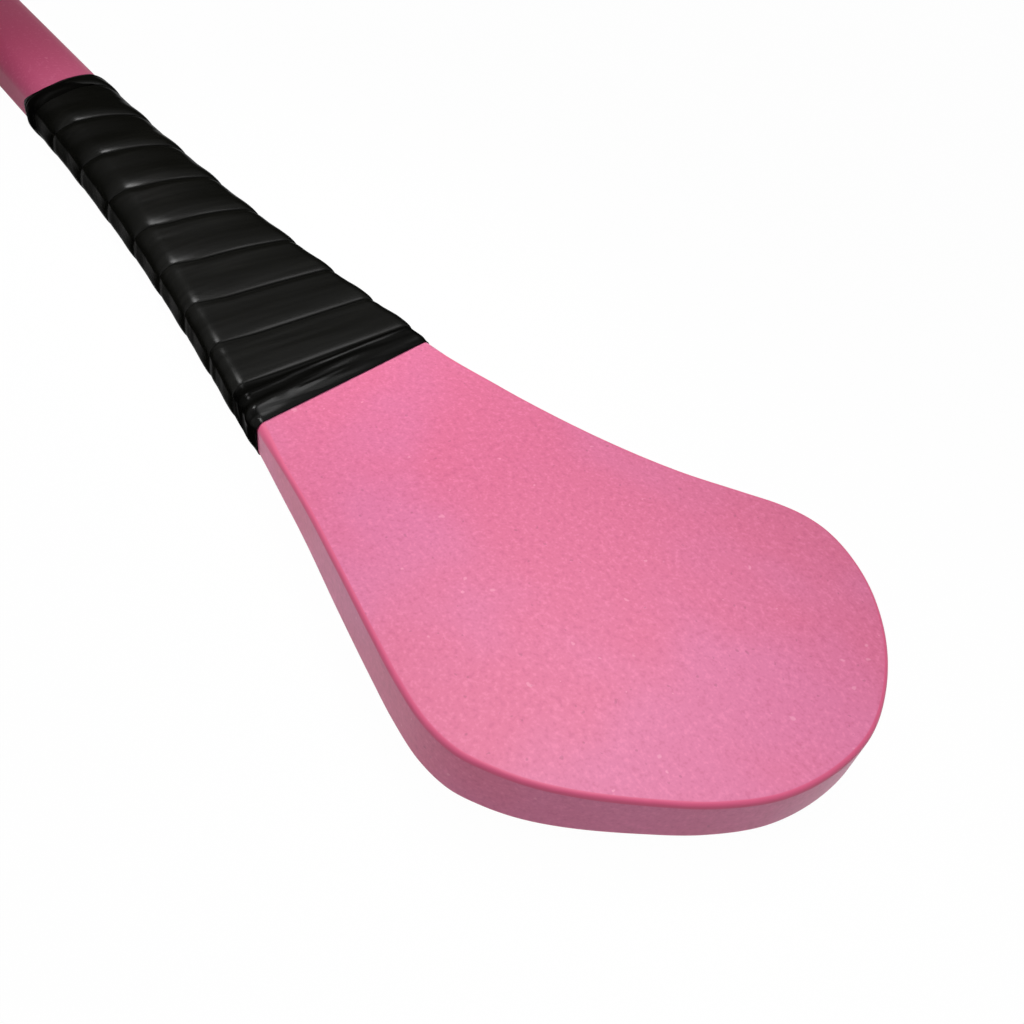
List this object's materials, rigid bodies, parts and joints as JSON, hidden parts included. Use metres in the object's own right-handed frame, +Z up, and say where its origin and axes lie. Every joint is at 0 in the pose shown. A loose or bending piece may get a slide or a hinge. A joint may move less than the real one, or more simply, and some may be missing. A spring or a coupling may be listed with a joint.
{
  "type": "hurley",
  "caption": "Moulded hurley with a broad flat bas, an oval handle, a wound tape wrap at the neck and a wound grip at the butt.",
  "frame": {"origin": "centre of the bounding box, on the surface that the stick lies on", "axes": "+X along the stick from the butt to the tip of the bas, +Y towards the toe side, +Z up, out of the upper face"},
  "size_m": [0.8132, 0.1162, 0.0301],
  "materials": {
    "moulded_body": "satin, finely speckled",
    "grip_tape": "soft matt grip tape",
    "finishing_tape": "stretched glossy tape",
    "core": "glass-fibre rod",
    "plug": "matt moulded"
  },
  "bodies": {
    "root": {"body": "moulded_body", "core_rod": "core", "butt_plug": "plug", "lower_wrap": "grip_tape", "lower_wrap_handle_band": "finishing_tape", "lower_wrap_bas_band": "finishing_tape", "upper_grip": "grip_tape", "upper_grip_band": "finishing_tape"}
  },
  "joints": []
}
